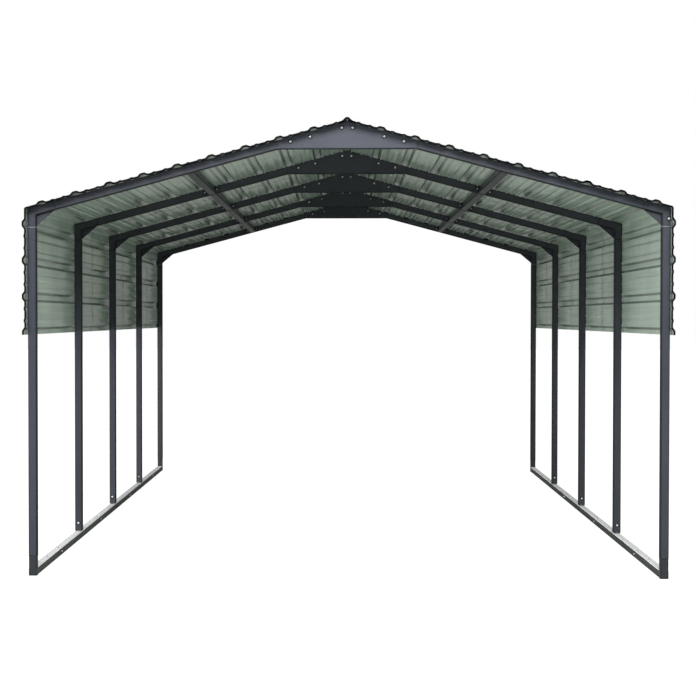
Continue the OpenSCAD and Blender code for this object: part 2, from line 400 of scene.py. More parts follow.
@dataclass(frozen=True)
class CoilCoat(Finish):
    """Coil-coated steel sheet, painted flat and then roll-formed into ribs.

    It gives a smooth, fairly glossy paint with long faint roller lines, gentle dents
    between the ribs and, where fold is above 0, painted shade along the flanks of the main
    ribs.
    Scales and depths are in millimetres.
    """

    body: str = "33363b"
    pale: str = "4c5055"
    gloss: float = 0.36
    shine: float = 0.5
    line: float = 16.0
    line_run: float = 1500.0
    line_depth: float = 0.03
    patch: float = 260.0
    dent: float = 170.0
    dent_depth: float = 0.9
    fold: float = 0.0
    fold_shade: str = "1c2420"
    fold_edges: Point = (4.0, 10.0)
    flank_off: float = 22.0
    side_rib_height: float = 2.0175

    def folds(self, tree: bpy.types.NodeTree,
              place: bpy.types.NodeSocket) -> bpy.types.Node:
        """How far a place lies on a flank of a main rib, where shade is painted.

        Args:
            tree: the material's node tree.
            place: the place in metres.

        Returns:
            The node that gives the share of painted shade.
        """
        apart = add_node(tree, "ShaderNodeSeparateXYZ", {0: place})
        out = add_node(tree, "ShaderNodeMath", {0: apart.outputs["X"]},
                       operation="ABSOLUTE")
        on_side = add_node(tree, "ShaderNodeMath", {0: out, 1: HALF_WIDTH - 3 * MM},
                           operation="GREATER_THAN")
        up_slope = add_node(tree, "ShaderNodeMath", {0: out, 1: math.cos(SLOPE)},
                            operation="DIVIDE")
        down_side = add_node(tree, "ShaderNodeMath", {
            0: apart.outputs["Z"], 1: self.side_rib_height}, operation="SUBTRACT")
        # how far it is from the middle of the nearest rib, on the roof and on the side
        roof, side = (add_node(tree, "ShaderNodeMath", {
            0: way, 1: pitch / 2, 2: -pitch / 2}, operation="WRAP")
            for way, pitch in ((up_slope, ROOF_PITCH), (down_side, SIDE_PITCH)))
        off = add_node(tree, "ShaderNodeMix", {0: on_side, 2: roof, 3: side})
        off = add_node(tree, "ShaderNodeMath", {0: off}, operation="ABSOLUTE")
        off = add_node(tree, "ShaderNodeMath", {0: off, 1: self.flank_off * MM},
                       operation="SUBTRACT")
        off = add_node(tree, "ShaderNodeMath", {0: off}, operation="ABSOLUTE")
        return add_node(tree, "ShaderNodeMapRange", {
            "Value": off, "From Min": self.fold_edges[0] * MM,
            "From Max": self.fold_edges[1] * MM, "To Min": self.fold, "To Max": 0.0})

    def sockets(self, tree: bpy.types.NodeTree) -> dict[Any, Any]:
        """Inputs of the surface shader for the coil coat.

        Args:
            tree: the material's node tree.

        Returns:
            A value, a node or an output socket for each input of the surface shader.
        """
        place = add_node(tree, "ShaderNodeTexCoord").outputs["Object"]
        rolled = add_node(tree, "ShaderNodeVectorMath", {
            0: place, 1: (per_metre(self.line), per_metre(self.line_run),
                          per_metre(self.line))}, operation="MULTIPLY")
        lines = add_node(tree, "ShaderNodeTexNoise", {
            "Vector": rolled, "Scale": 1.0, "Detail": 5.0, "Roughness": 0.6})
        patches = add_node(tree, "ShaderNodeTexNoise", {
            "Vector": place, "Scale": per_metre(self.patch), "Detail": 5.0})
        blend = add_node(tree, "ShaderNodeMath", {0: lines, 1: patches},
                         operation="MULTIPLY")
        share = add_node(tree, "ShaderNodeMapRange", {
            "Value": blend, "From Min": 0.16, "From Max": 0.36})
        colour = add_node(tree, "ShaderNodeMix", {
            0: share, 6: linear(self.body), 7: linear(self.pale)}, data_type="RGBA")
        if self.fold:
            # painted shade: the main ribs' flanks are mixed towards the dark fold colour
            colour = add_node(tree, "ShaderNodeMix", {
                0: self.folds(tree, place), 6: colour.outputs[2],
                7: linear(self.fold_shade)}, data_type="RGBA")
        rough = add_node(tree, "ShaderNodeMapRange", {
            "Value": lines, "From Min": 0.3, "From Max": 0.7,
            "To Min": self.gloss - 0.10, "To Max": self.gloss + 0.12})
        dents = add_node(tree, "ShaderNodeTexNoise", {
            "Vector": place, "Scale": per_metre(self.dent), "Detail": 1.0})
        dented = add_node(tree, "ShaderNodeBump", {
            "Height": dents, "Strength": 1.0, "Distance": self.dent_depth * MM})
        scored = add_node(tree, "ShaderNodeBump", {
            "Height": lines, "Strength": 0.5, "Distance": self.line_depth * MM,
            "Normal": dented})
        return {"Base Color": colour.outputs[2], "Roughness": rough,
                "Normal": scored, "IOR": 1.5, "Specular IOR Level": self.shine}


@dataclass(frozen=True)
class ZincPlate(Finish):
    """Zinc-plated steel, pressed into bolt and screw heads.

    It gives a nearly white head, part metal and part a near-white colour that is a
    painted highlight for the glint of zinc, with small dull spots.
    """

    glint_white: str = "eff1f2"
    dull: str = "cfd2d3"
    gloss: float = 0.42
    bare: float = 0.55
    spot: float = 3.0

    def sockets(self, tree: bpy.types.NodeTree) -> dict[Any, Any]:
        """Inputs of the surface shader for the zinc plate.

        Args:
            tree: the material's node tree.

        Returns:
            A value, a node or an output socket for each input of the surface shader.
        """
        place = add_node(tree, "ShaderNodeTexCoord").outputs["Object"]
        spots = add_node(tree, "ShaderNodeTexNoise", {
            "Vector": place, "Scale": per_metre(self.spot), "Detail": 4.0})
        share = add_node(tree, "ShaderNodeMapRange", {
            "Value": spots, "From Min": 0.4, "From Max": 0.65})
        # painted highlight: the near-white colour stands for the glint of the zinc heads
        colour = add_node(tree, "ShaderNodeMix", {
            0: share, 6: linear(self.glint_white), 7: linear(self.dull)}, data_type="RGBA")
        rough = add_node(tree, "ShaderNodeMapRange", {
            "Value": spots, "From Min": 0.3, "From Max": 0.7,
            "To Min": self.gloss - 0.06, "To Max": self.gloss + 0.14})
        bump = add_node(tree, "ShaderNodeBump", {
            "Height": spots, "Strength": 0.3, "Distance": 0.1 * MM})
        return {"Base Color": colour.outputs[2], "Roughness": rough,
                "Metallic": self.bare, "Normal": bump}


@dataclass(frozen=True)
class SealRubber(Finish):
    """EPDM rubber, moulded into the washers under screws and bolts.

    It gives a matt black ring with a slight bloom.
    """

    body: str = "060607"
    bloom: str = "101112"
    grain: float = 2.0

    def sockets(self, tree: bpy.types.NodeTree) -> dict[Any, Any]:
        """Inputs of the surface shader for the rubber.

        Args:
            tree: the material's node tree.

        Returns:
            A value, a node or an output socket for each input of the surface shader.
        """
        place = add_node(tree, "ShaderNodeTexCoord").outputs["Object"]
        grain = add_node(tree, "ShaderNodeTexNoise", {
            "Vector": place, "Scale": per_metre(self.grain), "Detail": 3.0})
        colour = add_node(tree, "ShaderNodeMix", {
            0: grain, 6: linear(self.body), 7: linear(self.bloom)}, data_type="RGBA")
        rough = add_node(tree, "ShaderNodeMapRange", {
            "Value": grain, "To Min": 0.62, "To Max": 0.85})
        bump = add_node(tree, "ShaderNodeBump", {
            "Height": grain, "Strength": 0.3, "Distance": 0.1 * MM})
        return {"Base Color": colour.outputs[2], "Roughness": rough,
                "Normal": bump, "IOR": 1.5, "Specular IOR Level": 0.2}


@dataclass(frozen=True)
class CutZinc(Finish):
    """Galvanised steel where the sheet was sheared, with its spangle.

    It gives a thin light grey line at a sheet's cut edges and under its end laps.
    """

    light: str = "a9adb0"
    dark: str = "777c80"
    spangle: float = 8.0

    def sockets(self, tree: bpy.types.NodeTree) -> dict[Any, Any]:
        """Inputs of the surface shader for the cut zinc.

        Args:
            tree: the material's node tree.

        Returns:
            A value, a node or an output socket for each input of the surface shader.
        """
        place = add_node(tree, "ShaderNodeTexCoord").outputs["Object"]
        spangle = add_node(tree, "ShaderNodeTexVoronoi", {
            "Vector": place, "Scale": per_metre(self.spangle)})
        colour = add_node(tree, "ShaderNodeMix", {
            0: spangle.outputs["Distance"], 6: linear(self.light), 7: linear(self.dark)},
            data_type="RGBA")
        rough = add_node(tree, "ShaderNodeMapRange", {
            "Value": spangle.outputs["Distance"], "To Min": 0.35, "To Max": 0.55})
        return {"Base Color": colour.outputs[2], "Roughness": rough,
                "Metallic": 1.0}


@dataclass(frozen=True)
class StudioFloor(Finish):
    """Matt painted studio floor, lit from below so that it shows nearly white.

    It throws little light back, which keeps the inside of the carport dim.
    """

    body: str = "a5a9a3"
    worn_and_shaded: str = "9da19b"
    cloud: float = 1400.0
    glow: float = 0.9

    def sockets(self, tree: bpy.types.NodeTree) -> dict[Any, Any]:
        """Inputs of the surface shader for the floor.

        Args:
            tree: the material's node tree.

        Returns:
            A value, a node or an output socket for each input of the surface shader.
        """
        place = add_node(tree, "ShaderNodeTexCoord").outputs["Object"]
        cloud = add_node(tree, "ShaderNodeTexNoise", {
            "Vector": place, "Scale": per_metre(self.cloud), "Detail": 3.0})
        colour = add_node(tree, "ShaderNodeMix", {
            0: cloud, 6: linear(self.body), 7: linear(self.worn_and_shaded)}, data_type="RGBA")
        rough = add_node(tree, "ShaderNodeMapRange", {
            "Value": cloud, "To Min": 0.7, "To Max": 0.85})
        seen = add_node(tree, "ShaderNodeLightPath").outputs["Is Camera Ray"]
        # only the camera sees it glow, so that it throws no light on the frame
        glow = add_node(tree, "ShaderNodeMath", {0: seen, 1: self.glow},
                        operation="MULTIPLY")
        return {"Base Color": colour.outputs[2], "Roughness": rough,
                "Specular IOR Level": 0.2, "Emission Color": linear("ffffff"),
                "Emission Strength": glow}


# painted shade: the frame coat darkens its flanks, and like every powder coat its corners
# and edges
FRAME_COAT = PowderCoat("slate_powder_coat_on_portal_tube", flank_shade=0.8)
# painted shade: a darker copy of the frame coat for the frames behind the front one, which
# stand in shade under the roof
INNER_COAT = replace(FRAME_COAT, name="slate_powder_coat_on_inner_portal_tube",
                     body="383b44")
# painted highlight: on the base tubes the up-facing specks and the rail rim are pure white,
# for the white sheen along their tops
FOOT_COAT = PowderCoat("slate_powder_coat_on_base_tube", body="36393e", dust_and_sheen="ffffff",
                       dust_and_sheen_share=1.0, rim_from=42 * MM, corner_axis=(1.0, 0.0, 0.0))
# painted shade: the rails' body is darker than the frame coat, for the shade on their inner
# faces; their white dust and rim are painted highlight
RAIL_COAT = replace(FOOT_COAT, name="slate_powder_coat_and_bare_zinc_stubs",
                    body="303338", stub="8f938f", stub_from=FOOT_COAT.rail_top)
PLATE_COAT = PowderCoat("slate_powder_coat_on_plate", body="434753", gloss=0.5)
# painted shade: a darker copy of the plate coat for the plates behind the front frame
INNER_PLATE_COAT = replace(PLATE_COAT, name="slate_powder_coat_on_inner_plate",
                           body="383b44")
# painted highlight: the light rim collar stands for the highlight on the seam's edge
SEAM_COAT = PowderCoat("slate_powder_coat_rubbed_seam", body="8a8e9a", edge_shade="6c7078",
                       gloss=0.42)
# painted shade: a near-black collar stands for the shade in the butted seam's gap
GAP_COAT = PowderCoat("painted_shade_in_butted_seam", body="0d0e10", gloss=0.7)
ROOF_PAINT = CoilCoat("anthracite_coil_coat_on_ribbed_sheet", body="363a3f",
                      pale="464a4f", gloss=0.55, shine=0.12, patch=900.0)
# painted shade: the inside of the sheets darkens along the flanks of the main ribs
BACK_PAINT = CoilCoat("grey_green_backing_coat_on_ribbed_sheet", body="b9ccbe",
                      pale="cbddce", gloss=0.16, line=22.0, fold=0.6, dent_depth=0.5)
# painted shade: the hems take a near-black copy of the roof's coil coat
HEM_PAINT = CoilCoat("anthracite_coil_coat_on_folded_hem", body="0b0c0d", pale="151719",
                     gloss=0.70, shine=0.05, dent_depth=0.1)
SCREW_PAINT = CoilCoat("anthracite_paint_on_screw_heads", body="2c2f33", pale="45494d",
                       gloss=0.38, line=5.0, line_run=5.0, dent_depth=0.05)
# painted highlight: the zinc heads and screw points are coloured near white for their glint
BOLT_ZINC = ZincPlate("zinc_plated_bolt_steel")
SEAL = SealRubber("moulded_epdm_seal_rubber")
SHEARED = CutZinc("sheared_galvanised_edge")
FLOOR_PAINT = StudioFloor("matt_pale_studio_floor")


# ---------------------------------------------------------------- sheet sections


def rounded(points: Sequence[Point], radii: Sequence[float], steps: int = 3,
            most: float = 0.45) -> list[Point]:
    """Rounds the inner corners of a line of points.

    Args:
        points: the corners, in order.
        radii: how far each corner is pulled back along its two sides, 0 to keep it.
        steps: how many spans draw one round corner.
        most: the largest share of a side that one corner may take up.

    Returns:
        The line with its corners rounded.
    """
    line = [points[0]]
    for before, here, after, radius in zip(points, points[1:], points[2:], radii[1:]):
        if radius <= 0:
            line.append(here)
            continue
        ends = []
        for other in (before, after):
            gap = math.dist(here, other)
            share = min(radius / gap, most)
            ends.append(tuple(h + (o - h) * share for h, o in zip(here, other)))
        for k in range(steps + 1):
            t = k / steps
            line.append(tuple((1 - t) ** 2 * a + 2 * t * (1 - t) * b + t * t * c
                              for a, b, c in zip(ends[0], here, ends[1])))
    line.append(points[-1])
    return line


def normals_of(line: np.ndarray) -> np.ndarray:
    """Unit normals at the points of a line, on its left-hand side.

    Args:
        line: the points, one row each.

    Returns:
        One normal for each point.
    """
    steps = np.diff(line, axis=0)
    steps /= np.linalg.norm(steps, axis=1, keepdims=True)
    turned = np.column_stack([-steps[:, 1], steps[:, 0]])
    both = np.vstack([turned[:1], turned[:-1] + turned[1:], turned[-1:]])
    return both / np.linalg.norm(both, axis=1, keepdims=True)


def stand(section: np.ndarray, sign: int, y: float) -> np.ndarray:
    """The points of a section, stood upright across the carport.

    Args:
        section: X and Z, one row each.
        sign: 1 for the right-hand side and -1 for the left-hand one.
        y: its place.

    Returns:
        X, Y and Z, one row each.
    """
    return np.column_stack([section[:, 0] * sign, np.full(len(section), y),
                            section[:, 1]])


def bar(lines: Sequence[np.ndarray]) -> tuple[np.ndarray, list[list[int]]]:
    """A thin bar between four lines of points, closed at both ends.

    Args:
        lines: the rim and the foot of its first face, then those of its second face.

    Returns:
        Its vertices, one row each, and its faces.
    """
    count = len(lines[0])
    quads = [[a * count + c, b * count + c, b * count + c + 1, a * count + c + 1]
             for c in range(count - 1) for a, b in ((0, 1), (3, 2), (2, 0), (1, 3))]
    quads += [[c, count + c, 3 * count + c, 2 * count + c] for c in (0, count - 1)]
    return np.vstack(lines), quads


@dataclass
class RibPattern:
    """The roll-formed section shared by all sheets, in metres."""

    pitch: float = ROOF_PITCH
    rib_base: float = 60.0 * MM
    rib_top: float = 24.0 * MM
    rib_height: float = 12.0 * MM
    minor_base: float = 26.0 * MM
    minor_top: float = 12.0 * MM
    minor_height: float = 3.5 * MM
    thickness: float = 0.6 * MM

    def rib(self, centre: float, base: float, top: float, height: float) -> list[Point]:
        """The four corners of a rib, as place along the sheet and height above it."""
        return [(centre - base / 2, 0.0), (centre - top / 2, height),
                (centre + top / 2, height), (centre + base / 2, 0.0)]

    def main_rib(self, centre: float) -> list[Point]:
        """The corners of a main rib."""
        return self.rib(centre, self.rib_base, self.rib_top, self.rib_height)

    def minor_ribs(self, centre: float, pitch: float) -> list[Point]:
        """The corners of the two minor ribs that share the pitch after the main rib."""
        first, second = centre + pitch / 3, centre + pitch * 2 / 3
        return (self.rib(first, self.minor_base, self.minor_top, self.minor_height)
                + self.rib(second, self.minor_base, self.minor_top, self.minor_height))


@dataclass
class Cladding:
    """Ribbed roof and side sheets with their hems and the ridge cap.

    A roof panel hangs from the ridge down to the lap rib, and an eave panel runs from
    under it round the eave bend and down the side. The cap rides over both roof panels.
    """

    pattern: RibPattern = field(default_factory=RibPattern)
    half_width: float = HALF_WIDTH
    eave_height: float = 2.110
    slope: float = SLOPE
    gaps: tuple[float, float] = (6.0 * MM, 2.0 * MM)
    side_gap: float = 6.0 * MM
    roof_gap: float = 1.0 * MM
    lap_rib: int = 7
    lap_reach: float = 9.0 * MM
    lap_rise: float = 0.7 * MM
    ridge_clear: float = 4.0 * MM
    roof_ribs: int = 9
    side_ribs: int = 4
    side_first: float = 92.4 * MM
    side_pitch: float = SIDE_PITCH
    side_rib: float = 13.5 * MM
    lift: float = 3.5 * MM
    lift_run: float = 420.0 * MM
    lift_fade: float = 240.0 * MM
    bend_round: float = 10.0 * MM
    rib_round: float = 3.0 * MM
    end: float = 3.1115
    stations: int = 48
    ripple: float = 0.4 * MM
    ripple_spans: tuple[Point, ...] = ((1.51, 0.41), (0.83, 0.27), (0.47, 0.61))
    hem_depth: float = 10.5 * MM
    hem_proud: float = 0.2 * MM
    hem_thickness: float = 1.4 * MM
    cap_over: float = 2.2 * MM
    cap_rise: float = 12.5 * MM
    cap_top: float = 16.0 * MM
    cap_wing: float = 48.0 * MM
    lap_ends: tuple[float, ...] = (-0.756, 0.756, 2.268)
    lap_lip: float = 3.5 * MM
    lip_share: Point = (0.25, 1.0)
    lip_clear: float = 0.3 * MM
    lip_thickness: float = 1.0 * MM
    roof_seed: int = 11
    eave_seed: int = 21
    cap_seed: int = 31
    lip_seed: int = 41

    def half(self, side: Side) -> "Cladding":
        """The same cladding with the gap of one side between its posts and its sheet."""
        return replace(self, side_gap=self.gaps[side is Side.RIGHT])

    @property
    def bend(self) -> Point:
        """Where the roof plane meets the side plane, in X and Z."""
        x = self.half_width + self.side_gap
        return x, (self.eave_height + (self.half_width - x) * math.tan(self.slope)
                   + self.roof_gap / math.cos(self.slope))

    @property
    def ridge_run(self) -> float:
        """Distance up the slope from the eave bend to the ridge."""
        return self.bend[0] / math.cos(self.slope)

    def on_roof(self, run: float, height: float) -> Point:
        """A point on the right-hand slope.

        Args:
            run: distance up the slope from the eave bend.
            height: height above the sheet's plane.

        Returns:
            X and Z.
        """
        x = self.bend[0] - run * math.cos(self.slope) + height * math.sin(self.slope)
        lift = self.lift * math.exp(-((run - self.lift_run) / self.lift_fade) ** 2)
        return x, (self.bend[1] + run * math.sin(self.slope)
                   + height * math.cos(self.slope) + lift)

    def on_side(self, drop: float, height: float) -> Point:
        """A point on the right-hand side sheet.

        Args:
            drop: distance down from the eave bend.
            height: how far it stands out from the sheet's plane.

        Returns:
            X and Z.
        """
        return self.bend[0] + height, self.bend[1] - drop

    def roof_line(self) -> list[Point]:
        """Underside of the roof sheet, from its lap at the eave side up to the ridge."""
        flat: list[Point] = []
        for k in range(self.lap_rib, 0, -1):
            centre = self.ridge_run - k * self.pattern.pitch
            flat += (self.pattern.main_rib(centre)
                     + self.pattern.minor_ribs(centre, self.pattern.pitch))
        flat.append((self.ridge_run - self.ridge_clear, 0.0))
        corners = [self.on_roof(run, height + self.lap_rise) for run, height in flat]
        return rounded(corners, [self.rib_round] * len(corners))

    def eave_line(self) -> list[Point]:
        """Underside of the bent eave sheet, from its lap round the bend to its hem."""
        flat: list[Point] = []
        for k in range(self.lap_rib, self.roof_ribs + 1):
            centre = self.ridge_run - k * self.pattern.pitch
            group = self.pattern.main_rib(centre)
            if k > self.lap_rib:
                group = group + self.pattern.minor_ribs(centre, self.pattern.pitch)
            flat += [(run, height) for run, height in reversed(group)]
        corners = [self.on_roof(flat[0][0] + self.lap_reach, 0.0)]
        corners += [self.on_roof(run, height) for run, height in flat]
        radii = [self.rib_round] * len(corners)
        corners.append(self.on_roof(0.0, 0.0))
        radii.append(self.bend_round)
        for k in range(self.side_ribs):
            centre = self.side_first + k * self.side_pitch
            group = self.pattern.rib(centre, self.pattern.rib_base, self.pattern.rib_top,
                                     self.side_rib)
            if k < self.side_ribs - 1:
                group = group + self.pattern.minor_ribs(centre, self.side_pitch)
            else:
                group = group[:3]
            corners += [self.on_side(drop, height) for drop, height in group]
            radii += [self.rib_round] * len(group)
        # walk from the ridge side down, so that the outside lies on the left-hand side
        return rounded(corners, radii)

    def cap_line(self) -> list[Point]:
        """Underside of the ridge cap, from its right wing to its left one."""
        ridge = self.on_roof(self.ridge_run, self.cap_over)[1]
        foot = self.pattern.rib_base / 2 * math.cos(self.slope)
        wing = self.cap_wing * math.cos(self.slope)
        half = [(wing, ridge - wing * math.tan(self.slope)),
                (foot, ridge - foot * math.tan(self.slope)),
                (self.cap_top / 2, ridge + self.cap_rise)]
        corners = half + [(-x, z) for x, z in reversed(half)]
        return rounded(corners, [self.rib_round] * len(corners))

    def sheet(self, shop: Shop, line: Sequence[Point], outside: int, mirror: bool,
              seed: int) -> None:
        """Adds one sheet with an outer skin, an inner skin and cut edges.

        Args:
            shop: where the mesh is collected.
            line: the underside's section, as X and Z.
            outside: 1 if the outside lies on the left of the line's run, or -1.
            mirror: whether the sheet lies on the left-hand side.
            seed: number that sets the sheet's own ripples.
        """
        under = np.array(line)
        normal = normals_of(under) * outside
        spans = np.linalg.norm(np.diff(under, axis=0), axis=1)
        along = np.concatenate([[0.0], np.cumsum(spans)])
        ys = np.linspace(-self.end, self.end, self.stations)
        dice = np.random.default_rng(seed)
        phase = dice.uniform(0, 2 * math.pi, 6)
        wave = np.zeros((len(ys), len(under)))
        for n, (length, across) in enumerate(self.ripple_spans):
            wave += (np.sin(2 * math.pi * ys / length + phase[n])[:, None]
                     * np.sin(2 * math.pi * along / across + phase[n + 3])[None, :])
        wave *= self.ripple / len(self.ripple_spans)
        skins = []
        for offset in (self.pattern.thickness, 0.0):
            section = under[None, :, :] + normal[None, :, :] * (offset + wave)[:, :, None]
            grid = np.empty((len(ys), len(under), 3))
            grid[:, :, 0] = section[:, :, 0] * (-1 if mirror else 1)
            grid[:, :, 1] = ys[:, None]
            grid[:, :, 2] = section[:, :, 1]
            skins.append(grid.reshape(-1, 3))
        across, rows = len(under), len(ys)
        flip = (outside < 0) != mirror
        outer, inner, edge = [], [], []
        base = across * rows

        def ordered(face: list[int], turn: bool) -> list[int]:
            """The face, turned over if asked."""
            return face[::-1] if turn else face

        for r in range(rows - 1):
            for c in range(across - 1):
                a, b = r * across + c, r * across + c + 1
                d, e = a + across, b + across
                outer.append(ordered([a, b, e, d], not flip))
                inner.append(ordered([base + a, base + d, base + e, base + b], not flip))
        for r in range(rows - 1):
            for c, turn in ((0, flip), (across - 1, not flip)):
                a, d = r * across + c, (r + 1) * across + c
                edge.append(ordered([a, base + a, base + d, d], turn))
        for c in range(across - 1):
            for r, turn in ((0, not flip), (rows - 1, flip)):
                a, b = r * across + c, r * across + c + 1
                edge.append(ordered([a, base + a, base + b, b], turn))
        start = shop.count
        shop.add(np.vstack(skins), outer, 0)
        for faces, slot in ((inner, 1), (edge, 2)):
            shop.add(np.empty((0, 3)),
                     [[i + start - shop.count for i in face] for face in faces], slot)

    def hem(self, shop: Shop, line: Sequence[Point], outside: int, mirror: bool,
            y: float, out: int) -> None:
        """Adds the folded hem across one end of a sheet.

        Args:
            shop: where the mesh is collected.
            line: the underside's section, as X and Z.
            outside: 1 if the outside lies on the left of the line's run, or -1.
            mirror: whether the sheet lies on the left-hand side.
            y: the end's place.
            out: 1 for the back end and -1 for the front one.
        """
        under = np.array(line)
        normal = normals_of(under) * outside
        rim = under + normal * (self.pattern.thickness + self.hem_proud)
        foot = under - normal * (self.hem_depth - self.pattern.thickness)
        sign = -1 if mirror else 1
        shop.add(*bar([stand(edge, sign, face_y)
                       for face_y in (y, y + out * self.hem_thickness)
                       for edge in (rim, foot)]))

    def lap_edges(self, side: Side, seed: int) -> None:
        """Adds the sheared lips where sheets lap end to end, under the roof and the side.

        Args:
            side: the side of the carport.
            seed: number that sets how far each stretch of lip hangs.
        """
        half, lips = self.half(side), Shop()
        dice = np.random.default_rng(seed)
        for line, outside in ((half.roof_line(), -1), (half.eave_line(), 1)):
            under = np.array(line)
            normal = normals_of(under) * outside
            for y in self.lap_ends:
                hang = self.lap_lip * dice.uniform(*self.lip_share, len(under))
                rows = (under - normal * self.lip_clear, under - normal * hang[:, None])
                lips.add(*bar([stand(row, side.value, y + depth)
                               for depth in (0.0, self.lip_thickness) for row in rows]))
        lips.weld(f"lap_lips_{side.word}", (SHEARED,), Slot.SHEET)

    def build(self) -> None:
        """Builds all sheets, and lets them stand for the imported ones."""
        cap = self.cap_line()
        for seed, side in enumerate(Side):
            half, mirror = self.half(side), side is Side.LEFT
            roof, eave = half.roof_line(), half.eave_line()
            panel = Shop()
            self.sheet(panel, roof, -1, mirror, self.roof_seed + seed)
            made = panel.weld(f"roof_panel_{side.word}", (ROOF_PAINT, BACK_PAINT, SHEARED),
                              Slot.SHEET)
            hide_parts(f"roof_sheet_{side.word}")
            panel = Shop()
            self.sheet(panel, eave, 1, mirror, self.eave_seed + seed)
            made = panel.weld(f"eave_panel_{side.word}", (ROOF_PAINT, BACK_PAINT, SHEARED),
                              Slot.SHEET)
            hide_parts(f"side_sheet_{side.word}")
            hems = Shop()
            for out in (-1, 1):
                self.hem(hems, roof, -1, mirror, out * self.end, out)
                self.hem(hems, eave, 1, mirror, out * self.end, out)
            hems.weld(f"sheet_hems_{side.word}", (HEM_PAINT,), Slot.SHEET)
            self.lap_edges(side, self.lip_seed + seed)
        ridge = Shop()
        self.sheet(ridge, cap, -1, False, self.cap_seed)
        made = ridge.weld("ridge_cap_sheet", (ROOF_PAINT, BACK_PAINT, SHEARED), Slot.SHEET)
        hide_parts("ridge_cap")
        hems = Shop()
        for out in (-1, 1):
            self.hem(hems, cap, -1, False, out * self.end, out)
        hems.weld("ridge_cap_hems", (HEM_PAINT,), Slot.SHEET)


# ---------------------------------------------------------------- frame


@dataclass
class TubeFrame:
    """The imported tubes, corners, feet, plates and purlins, which only get their finish."""

    slope: float = SLOPE

    def finish_of(self, part: str) -> Finish:
        """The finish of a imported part.

        Args:
            part: its name.

        Returns:
            The finish whose corner direction fits that part's tube.
        """
        if part.startswith("ridge_plates"):
            # painted shade: plates behind the front frame take the darker inner copy
            return PLATE_COAT if part.endswith("_1") else INNER_PLATE_COAT
        if part.startswith("base_rail"):
            return RAIL_COAT
        if part == "corner_feet":
            return FOOT_COAT
        if part.startswith("purlin"):
            lean = math.sin(self.slope) * (-1 if part.endswith("left") else 1)
            # painted shade: the purlins take a darker copy of the powder coat, for the shade
            # under the roof
            return PowderCoat(f"slate_powder_coat_on_{part}", body="2f323b",
                              corner_axis=(lean, 0.0, math.cos(self.slope)))
        # painted shade: frames behind the front one take the darker inner copy of the coat
        return FRAME_COAT if part.endswith("_1") else INNER_COAT

    def dress(self) -> None:
        """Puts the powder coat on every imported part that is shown."""
        for name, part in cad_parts.items():
            if part.hide_render:
                continue
            part.data.materials.clear()
            part.data.materials.append(self.finish_of(name).material())
            log.info("%s: finished", name)


@dataclass
class Seams:
    """Collars at the butted seams of the posts: a light rim, which is a painted highlight,
    and a near-black gap, which is painted shade.
    """

    corner: float = 5.0 * MM
    proud: float = 0.25 * MM
    depth: float = 0.02  # how far the sleeve's rims dip inwards, as a share
    rim: float = 5.0 * MM
    gap: float = 1.6 * MM
    foot_seam: float = 0.115

    def collar(self, shop: Shop, x: float, y: float, low: float, high: float,
               slot: int) -> None:
        """Adds a thin sleeve round a post.

        Args:
            shop: where the mesh is collected.
            x: the post's middle.
            y: the post's middle.
            low: height of the sleeve's lower rim.
            high: height of its upper rim.
            slot: its finish.
        """
        ring = []
        flat, reach = TUBE / 2 - self.corner, self.corner + self.proud
        for corner, (right, back) in enumerate(((1, 1), (-1, 1), (-1, -1), (1, -1))):
            for step in range(4):
                angle = math.pi / 2 * corner + step * math.pi / 6
                ring.append((x + flat * right + reach * math.cos(angle),
                             y + flat * back + reach * math.sin(angle)))
        dip = 1 - self.depth
        inner = [(x + (px - x) * dip, y + (py - y) * dip) for px, py in ring]
        count = len(ring)
        points = [(px, py, z) for z, line in ((low, inner), (low, ring), (high, ring),
                                              (high, inner)) for px, py in line]
        quads = [[a * count + k, a * count + (k + 1) % count, b * count + (k + 1) % count,
                  b * count + k]
                 for a, b in ((0, 1), (1, 2), (2, 3), (3, 0)) for k in range(count)]
        shop.add(np.array(points), quads, slot)

    def build(self) -> None:
        """Builds the collars under each eave corner and on each corner foot."""
        shop = Shop()
        for side in Side:
            for number in range(1, FRAME_COUNT + 1):
                y = frame_y(number)
                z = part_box(f"post_{side.word}_{number}")[1].z
                x = side.value * POST_X
                # painted shade: a near-black collar over the seam gap at each post top; on
                # the end frames a light rim under it is a painted highlight
                self.collar(shop, x, y, z, z + self.gap, 1)
                if number in (1, FRAME_COUNT):
                    self.collar(shop, x, y, z - self.rim, z, 0)
                    self.collar(shop, x, y, self.foot_seam - self.gap / 2,
                                self.foot_seam + self.gap / 2, 1)
        shop.weld("post_seam_collars", (SEAM_COAT, GAP_COAT), Slot.FRAME)


# ---------------------------------------------------------------- fasteners


